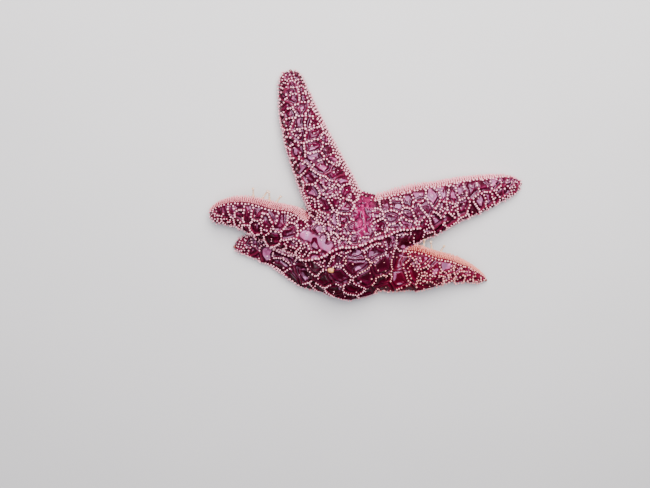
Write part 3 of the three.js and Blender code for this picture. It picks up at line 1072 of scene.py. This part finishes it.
class StarStudioSettings(bpy.types.PropertyGroup):
    """Camera and lights."""

    distance: length("Camera distance", "From the camera to the point it looks at", 0.6)
    lens: FloatProperty(name="Lens", description="Focal length in millimetres, for a sensor 36 mm wide",
                        default=44.31, min=1)
    tilt: FloatProperty(name="Camera tilt", description="Lean of the camera from straight above",
                        default=math.radians(18), subtype="ANGLE")
    key: watts("Key light", "Power of the main soft light", 24)
    fill: watts("Top light", "Power of the soft light overhead", 13)


# ---------------------------------------------------------------- operators

SKIN = {}  # the skin, which the other pieces stand on, once it is made


def finish_piece(piece, slot, *nodes):
    """Rides the piece on the star's one body and hides the solids that it stands for. The slot is not used.
    """
    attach(piece, "root")
    if nodes:
        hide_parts(*nodes)


class STAR_OT_stage(bpy.types.Operator):
    """Floor, camera, soft lights and world."""

    bl_idname = "sea_star.stage"
    bl_label = "Studio"

    def execute(self, context):
        settings = context.scene.star_studio
        floor = new_piece("studio_floor", *self.board(1600, 8), floor_finish())
        self.add_camera(context, settings)
        self.add_light(context, "key", settings.key)
        self.add_light(context, "top", settings.fill)
        world = bpy.data.worlds.new("soft studio")
        world.use_nodes = True
        background = world.node_tree.nodes["Background"]
        background.inputs["Color"].default_value = (0.86, 0.88, 0.93, 1)
        background.inputs["Strength"].default_value = 0.1
        context.scene.world = world
        return {"FINISHED"}

    def board(self, half, cells):
        """A flat square grid at height 0, from -half to half both ways."""
        span = np.linspace(-half, half, cells + 1)
        x, y = np.meshgrid(span, span)
        points = np.stack([x, y, np.zeros_like(x)], -1).reshape(-1, 3)
        corner = np.arange(cells)[:, None] * (cells + 1) + np.arange(cells)
        above = corner + cells + 1
        return points, [np.stack([corner, corner + 1, above + 1, above], -1).reshape(-1, 4)]

    def add_camera(self, context, settings):
        """A camera over the star, leaning towards +Y, with +Y up in its picture."""
        data = bpy.data.cameras.new("camera")
        data.sensor_width = 36
        data.lens = settings.lens
        data.clip_start = 0.01
        camera = bpy.data.objects.new("camera", data)
        back = Vector((0, math.sin(settings.tilt), math.cos(settings.tilt)))
        camera.location = Vector(LOOK_AT) + back * settings.distance
        camera.rotation_euler = (-settings.tilt, 0, 0)
        context.collection.objects.link(camera)
        context.scene.camera = camera

    def add_light(self, context, name, power):
        """A soft square light that faces the middle of the star."""
        data = bpy.data.lights.new(name, "AREA")
        data.shape = "SQUARE"
        data.size = LIGHTS[name]["size"]
        data.energy = power
        data.color = LIGHTS[name]["colour"]
        light = bpy.data.objects.new(name, data)
        light.location = LIGHTS[name]["place"]
        light.rotation_euler = (-light.location).to_track_quat("-Z", "Y").to_euler()
        context.collection.objects.link(light)


class STAR_OT_skin(bpy.types.Operator):
    """One skin over the disc and all the arms, with the net's relief and its colours."""

    bl_idname = "sea_star.skin"
    bl_label = "Skin"

    def execute(self, context):
        settings = context.scene.star_skin
        skin = Skin(settings)
        SKIN["made"] = skin
        for key, value in self.markings(skin).items():
            layer = skin.mesh.attributes.new(key, "FLOAT", "POINT")
            layer.data.foreach_set("value", value.astype(np.float32))
        skin.mesh.polygons.foreach_set("use_smooth", np.ones(len(skin.mesh.polygons), bool))
        skin.mesh.name = "skin"
        skin.mesh.materials.clear()
        skin.mesh.materials.append(skin_finish(settings))
        piece = bpy.data.objects.new("skin", skin.mesh)
        context.collection.objects.link(piece)
        finish_piece(piece, "skin", "disc", *["arm_" + arm.name for arm in ARMS])
        return {"FINISHED"}

    def markings(self, skin):
        """What the skin's finish reads at each point. It has painted shade below the fold, in the hollow
        and where a raised edge begins, with its ridges painted darker there, painted shade in the furrows
        and a painted reflection inside the cells, and it is dry on steep flanks and those that face down
        the picture."""
        points, side = skin.points, skin.where["side"]
        fold, _ = beside(points, FOLD_LINE)
        below = smoothstep(0, -7, fold) * smoothstep(75, 50, np.abs(points[:, 0]))
        shade = np.maximum(below, 0.9 * np.maximum(patch(points, HOLLOW, 2), bell(skin.band - 8, 3)))
        steep, downward = smoothstep(0.6, 0.3, skin.tilt[:, 2]), smoothstep(-0.25, -0.5, skin.tilt[:, 1])
        edge = np.where(skin.raised, smoothstep(-3, -8, skin.band), smoothstep(-14, -36, side))
        return {
            # The ridges are painted darker where the shade is painted.
            "ridge": skin.ridge * (1 - 0.6 * shade),
            "rim": np.clip(skin.rim, 0, 1),
            # Where painted shade darkens the furrows, cell middles and creases.
            "furrow": skin.furrow,
            "bare": skin.bare * smoothstep(0, 20, side),
            "shade": shade,
            "edge": np.where(northern_edge(skin.where), smoothstep(24, 14, side), edge),
            "dry": np.maximum(steep, downward),
            # Painted reflection of the sky, as pale sheen.
            "film": skin.film,
            "warm": (skin.where["owner"] == WARM_ARM).astype(float),
        }


class STAR_OT_spines(bpy.types.Operator):
    """Knobbed spines in chains over the net, and in rows along the flanks and the fold."""

    bl_idname = "sea_star.spines"
    bl_label = "Spines"

    def execute(self, context):
        settings = context.scene.star_spines
        skin = SKIN["made"]
        rng = np.random.default_rng(31)
        places, normals, sizes = self.chains(skin, settings, rng)
        arm, where = nearest_arm(places)
        lean = normals + 0.16 * rng.normal(size=normals.shape)
        radii = settings.radius / MM * sizes * (1 - 0.22 * tip_share(where))
        lengths = settings.height / MM * sizes * rng.uniform(0.85, 1.15, len(places))
        material = spine_finish("spines", settings.root, settings.tip, settings.warm)
        for k, name in enumerate(ARM_PLANS):
            mine = arm == k
            batch = plant(KNOB, places[mine], lean[mine], lengths[mine], radii[mine], rng)
            warm = 0.6 if name == "lower_right" else 0.08
            piece = spine_piece("spines_" + name, [batch], material, warm=warm)
            finish_piece(piece, "spines")
        return {"FINISHED"}

    def chains(self, skin, settings, rng):
        """Places, normals and sizes of all the knobbed spines. What comes first stands first, and a later
        spine that would be too close to one already there is left out."""
        found = [self.fold_chain(skin, settings)]
        found += self.flank_rows(skin, settings, rng)
        found += self.net_chains(skin, settings, rng)
        found += self.loose_spines(skin, rng)
        found = [np.concatenate(part) for part in zip(*found)]
        plate = np.mean(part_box("madreporite"), axis=0)[:2] / MM
        clear = np.linalg.norm(found[0][:, :2] - plate, axis=1) > PLATE_ROOM
        places, normals, sizes, room = (values[clear] for values in found)
        keep = spread(places, room)
        return places[keep], normals[keep], sizes[keep]

    def chain(self, place, normal, sizes):
        """A chain's places, normals and sizes, and the room that each of its spines needs."""
        return place, normal, sizes, np.full(len(place), CHAIN_ROOM)

    def fold_chain(self, skin, settings):
        """Large spines along the crest of the fold."""
        fold, along = beside(skin.points, FOLD_LINE)
        x = skin.points[:, 0]
        near = (np.abs(fold) < 4) & (x > -64) & (x < 52) & (skin.normals[:, 2] > 0.2)
        place, normal, a, _ = crossings(skin, fold - FOLD_CREST, near)
        spacing = 1.2 * settings.spacing / MM
        place, normal, _ = string(place, normal, np.zeros(len(a), int), along[a], spacing)
        return self.chain(place, normal, np.full(len(place), 1.15))

    def flank_rows(self, skin, settings, rng):
        """Rows along the flanks at steady side angles, and one along each raised edge."""
        hemmed, raised, north = (test(skin.where) for test in (flank_hemmed, flank_raised, northern_edge))
        plain = ~raised & ~north
        spacing = settings.row_spacing / MM
        found = []
        for angle, usable in ((34, hemmed), (26, hemmed), (22, north), (18, plain), (10, plain),
                              (2, plain), (-7, plain), (-16, ~raised)):
            place, normal = row_of(skin, skin.where["side"] - angle, spacing, usable)
            found.append(self.chain(place, normal, rng.uniform(0.9, 1.1, len(place))))
        place, normal = row_of(skin, skin.band - 3, 0.9 * spacing, raised)
        found.append(self.chain(place, normal, rng.uniform(0.85, 1.0, len(place))))
        return found

    def net_chains(self, skin, settings, rng):
        """Chains along the net's borders, rims and spokes. Some chains are missing, more of them below
        the fold, where the spines are smaller too."""
        usable = (skin.netted > 0.3) & (skin.bare < 0.5) & (skin.sleek < 0.5) & (skin.fold < 0.1)
        found = []
        for kind, gone, scale in ((border_crossings, 0.03, 1), (rim_crossings, 0.55, 0.85),
                                  (spoke_crossings, 0.2, 1)):
            place, normal, run = string(*kind(skin, usable), settings.spacing / MM)
            fold, _ = beside(place, FOLD_LINE)
            low = smoothstep(-1, -6, fold) * smoothstep(75, 55, np.abs(place[:, 0]))
            lost = rng.uniform(0, 1, run.max() + 1)[run] < gone + 0.25 * low
            lost |= rng.uniform(0, 1, len(run)) < 0.04
            sizes = rng.uniform(0.85, 1.1, len(place)) * (1 - 0.16 * low) * scale
            found.append(self.chain(place[~lost], normal[~lost], sizes[~lost]))
        return found

    def loose_spines(self, skin, rng):
        """Spines between the chains: close together at the arms' tips, a few in the cells, and clusters
        on the warmer arm. Each kind has the most to try, the room for each, and the range of sizes."""
        where = skin.where
        thinned = rng.uniform(0, 1, len(skin.low)) > 0.7 * skin.low
        scattered = (skin.netted > 0.5) & (skin.border > 1.4) & thinned
        tips = skin.outer & (skin.from_tip < 9) & (where["side"] > -30) & (skin.band > 0)
        clustered = (where["owner"] == WARM_ARM) & (where["across"] > -0.25) & (where["out"] > 48)
        clustered &= (skin.netted > 0.6) & (cloud(skin.points, 4.5, 61) > 0)
        found = []
        for usable, most, room, least, largest in ((tips, 9000, 1.9, 0.7, 1.0),
                                                   (scattered, 500, 2.6, 0.4, 0.8),
                                                   (clustered, 260, 1.7, 0.6, 0.95)):
            some = rng.permutation(np.flatnonzero(usable))[:most]
            sizes = rng.uniform(least, largest, len(some))
            found.append((skin.points[some], skin.normals[some], sizes, np.full(len(some), room)))
        return found


class STAR_OT_fringe(bpy.types.Operator):
    """Slender spines along the lower flanks and beside the grooves."""

    bl_idname = "sea_star.fringe"
    bl_label = "Fringe"

    def execute(self, context):
        settings = context.scene.star_spines
        skin = SKIN["made"]
        rng = np.random.default_rng(47)
        colours = (settings.root, settings.fringe, settings.warm_fringe)
        material = spine_finish("fringe spines", *colours, start=0.0, end=0.6)
        batches = {k: [] for k in range(len(ARMS))}
        spacing = settings.fringe_spacing / MM
        raised, north = flank_raised(skin.where), northern_edge(skin.where)
        side = skin.where["side"]
        for angle in BAND_ANGLES:
            place, normal = row_of(skin, skin.band - angle, spacing, raised)
            self.sow(batches, PEG, place, normal, *BAND_PEG, rng)
        place, normal = row_of(skin, skin.band - BAND_HEM, spacing, raised)
        self.sow(batches, NEEDLE, place, normal, *HEM_NEEDLE, rng)
        for angle, tall in HEDGE_ROWS:
            place, normal = row_of(skin, side - angle, 1.35 * spacing, north)
            outer = smoothstep(50, 76, locate(place)["out"])
            self.sow(batches, PEG, place, normal, tall * (1 - 0.5 * outer), 0.54 + 0.14 * outer, rng)
        for angle, tall, thick, loose in LOWER_ROWS:
            place, normal = row_of(skin, side - angle, spacing * loose, ~raised)
            self.sow(batches, PEG if tall < 2 else NEEDLE, place, normal, tall, thick, rng)
        for gap in GROOVE_ROWS:
            place, normal = self.beside_groove(skin, gap, spacing)
            self.sow(batches, NEEDLE, place, normal, *GROOVE_NEEDLE, rng)
        for k, arm in enumerate(ARMS):
            warm = {"lower_right": 0.9, "left": 0.35}.get(arm.name, 0.2)
            piece = spine_piece("fringe_" + arm.name, batches[k], material, warm=warm)
            finish_piece(piece, "spines")
        return {"FINISHED"}

    def beside_groove(self, skin, gap, spacing):
        """Even steps along the lines a given distance from the arms' middle lines, underneath."""
        where = skin.where
        half = np.ones(len(where["owner"]))
        for k, arm in enumerate(ARMS):
            mine = where["owner"] == k
            half[mine] = arm.at(where["out"][mine], arm.half)
        under = (where["side"] < -50) & (where["owner"] < DISC_INDEX)
        return flank_lines(skin, np.abs(where["across"]) * half - gap, spacing, under)

    def sow(self, batches, shape, place, normal, tall, thick, rng):
        """Plants one row, shorter towards the arms' tips, and shares it out among the arms."""
        arm, where = nearest_arm(place)
        lean = normal + 0.12 * rng.normal(size=normal.shape)
        near_tip = tip_share(where)
        lengths = tall * (1 - 0.55 * near_tip) * rng.uniform(0.85, 1.15, len(place))
        radii = thick * (1 - 0.3 * near_tip) * rng.uniform(0.9, 1.1, len(place))
        for k in batches:
            mine = arm == k
            if mine.any():
                batches[k].append(plant(shape, place[mine], lean[mine], lengths[mine], radii[mine], rng))


class STAR_OT_feet(bpy.types.Operator):
    """Tube feet: two rows in each groove, and those that reach out past the raised edges."""

    bl_idname = "sea_star.feet"
    bl_label = "Tube feet"

    def execute(self, context):
        settings = context.scene.star_soft
        rng = np.random.default_rng(59)
        pale = tuple(0.4 + 0.55 * value for value in settings.feet)
        material = soft_finish("tube feet", settings.feet, pale, 900, Subsurface_Weight=0.15)
        for arm in ARMS:
            batches = [self.in_groove(arm, rng)]
            if arm.name in REACHING_FEET:
                batches.append(self.reaching(arm, rng))
            piece = spine_piece("tube_feet_" + arm.name, batches, material)
            finish_piece(piece, "tube_feet")
        return {"FINISHED"}

    def in_groove(self, arm, rng):
        """Two rows of short feet that hang from the roof of the groove and spread a little."""
        steps = np.arange(FEET_ROWS["first"], arm.length - FEET_ROWS["from_tip"], FEET_ROWS["step"])
        out = np.repeat(steps, 2)
        side = np.tile([-1.0, 1.0], len(out) // 2)
        height = arm.at(out, arm.height)
        depth = np.minimum(GROOVE["depth"], 0.3 * height)
        up = depth * 0.75 - WAIST * height
        root = arm.place(out, side * 1.2, up)
        astray = rng.uniform(-1, 1, len(out))
        end = arm.place(out + astray, side * rng.uniform(1, 2.4, len(out)), up - depth * 0.8)
        tall = np.linalg.norm(end - root, axis=1)
        return plant(FOOT, root, end - root, tall, np.full(len(out), 0.5), rng)

    def reaching(self, arm, rng):
        """The few long feet, where the arm's solid has its pegs."""
        from_tip, tall, lean = np.array(REACHING_FEET[arm.name]).T
        side = 1 if arm.plan["roll"] > 0 else -1
        out = arm.length - from_tip
        half, height = arm.at(out, arm.half), arm.at(out, arm.height)
        root = arm.place(out, side * half * 0.8, (0.12 - WAIST) * height)
        away = unit(arm.place(out, side * (half + 10), (-0.1 - WAIST) * height) - root)
        along = np.stack([arm.at(out, arm.along[:, 0]), arm.at(out, arm.along[:, 1]), 0 * out], -1)
        heading = unit(away + lean[:, None] * along)
        return plant(FOOT, root, heading, tall + 1.9, np.full(len(out), 0.95), rng)


class STAR_OT_small_parts(bpy.types.Operator):
    """Madreporite, mouth and eyespots."""

    bl_idname = "sea_star.small_parts"
    bl_label = "Madreporite, mouth and eyespots"

    def execute(self, context):
        settings = context.scene.star_soft
        self.add_madreporite(SKIN["made"], settings)
        self.add_mouth(settings)
        self.add_eyespots(settings)
        return {"FINISHED"}

    def cap(self, radius, relief):
        """A round cap as a polar grid: relief gives its height from the share of the radius and the
        turn. It closes underneath with a flat face."""
        share = np.linspace(1, 0.04, 22)[:, None]
        turn = np.linspace(0, 2 * math.pi, 90, endpoint=False)[None, :]
        x, y = radius * share * np.cos(turn), radius * share * np.sin(turn)
        return closed_tube(np.stack([x, y, relief(share, turn)], -1))

    def add_madreporite(self, skin, settings):
        """A low button with furrows that wander out from its middle, set square to the skin under it."""
        low, high = (np.array(corner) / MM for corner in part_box("madreporite"))
        middle = (low + high) / 2
        near = np.linalg.norm(skin.points[:, :2] - middle[:2], axis=1) < 3
        near &= skin.normals[:, 2] > 0.3
        up = unit(skin.normals[near].mean(axis=0))
        seat = skin.points[near].mean(axis=0)

        def relief(share, turn):
            furrows = np.sin(17 * turn + 2.5 * np.sin(3 * turn) + 5 * share)
            return 1.5 * (1 - share**2.4) + 0.16 * furrows * np.sin(math.pi * share) - 0.3

        points, faces = self.cap(2.6, relief)
        aside = unit(np.cross(up, (0, 1, 0)))
        axes = np.stack([aside, np.cross(up, aside), up])
        material = soft_finish("chalky orange", settings.plate, (0.75, 0.4, 0.14), 1400)
        piece = new_piece("madreporite_plate", points @ axes + seat, faces, material)
        finish_piece(piece, "madreporite", "madreporite")

    def add_mouth(self, settings):
        """A puckered membrane: pleats that run in to a small opening, seen from below."""

        def relief(share, turn):
            pleats = 0.25 * np.sin(20 * turn) * np.sin(math.pi * share)
            return -0.6 - 1.4 * bell(share - 0.3, 0.22) - pleats

        points, faces = self.cap(5.4, relief)
        points = points * (1, -1, 1) + (0, 0, 4.2)
        material = soft_finish("mouth membrane", settings.mouth, (0.75, 0.45, 0.36), 700)
        piece = new_piece("mouth_membrane", points, faces, material)
        finish_piece(piece, "mouth", "mouth")

    def add_eyespots(self, settings):
        """A small glossy cushion at each arm's tip."""
        material = soft_finish("eyespot", settings.eye, (0.22, 0.014, 0.01), 1800)
        rise = np.linspace(-0.98, 0.98, 12) * math.pi / 2
        turn = np.linspace(0, 2 * math.pi, 20, endpoint=False)
        ball = np.stack([np.cos(rise)[:, None] * np.cos(turn), np.cos(rise)[:, None] * np.sin(turn),
                         np.sin(rise)[:, None] + 0 * turn], -1)
        for arm in ARMS:
            low, high = (np.array(corner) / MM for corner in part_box("eyespot_" + arm.name))
            points, faces = closed_tube(ball * (high - low) / 2 * 0.92 + (low + high) / 2)
            piece = new_piece("eyespot_cushion_" + arm.name, points, faces, material)
            finish_piece(piece, "eyespot", "eyespot_" + arm.name)


class STAR_PT_panel(bpy.types.Panel):
    """Lists the star's pieces."""

    bl_idname = "STAR_PT_panel"
    bl_label = "Sea star"
    bl_space_type = "VIEW_3D"
    bl_region_type = "UI"
    bl_category = "Sea star"

    def draw(self, context):
        for operator in OPERATORS:
            self.layout.operator(operator.bl_idname)


SETTINGS = {
    "star_skin": StarSkinSettings,
    "star_spines": StarSpineSettings,
    "star_soft": StarSoftSettings,
    "star_studio": StarStudioSettings,
}
OPERATORS = (STAR_OT_stage, STAR_OT_skin, STAR_OT_spines, STAR_OT_fringe, STAR_OT_feet,
             STAR_OT_small_parts)


def register():
    for group in SETTINGS.values():
        bpy.utils.register_class(group)
    for name, group in SETTINGS.items():
        setattr(bpy.types.Scene, name, PointerProperty(type=group))
    for operator in OPERATORS:
        bpy.utils.register_class(operator)
    bpy.utils.register_class(STAR_PT_panel)


def unregister():
    bpy.utils.unregister_class(STAR_PT_panel)
    for operator in reversed(OPERATORS):
        bpy.utils.unregister_class(operator)
    for name, group in SETTINGS.items():
        delattr(bpy.types.Scene, name)
        bpy.utils.unregister_class(group)


def main():
    register()
    bpy.ops.sea_star.stage()
    bpy.ops.sea_star.skin()
    bpy.ops.sea_star.spines()
    bpy.ops.sea_star.fringe()
    bpy.ops.sea_star.feet()
    bpy.ops.sea_star.small_parts()


if __name__ == "__main__":
    main()
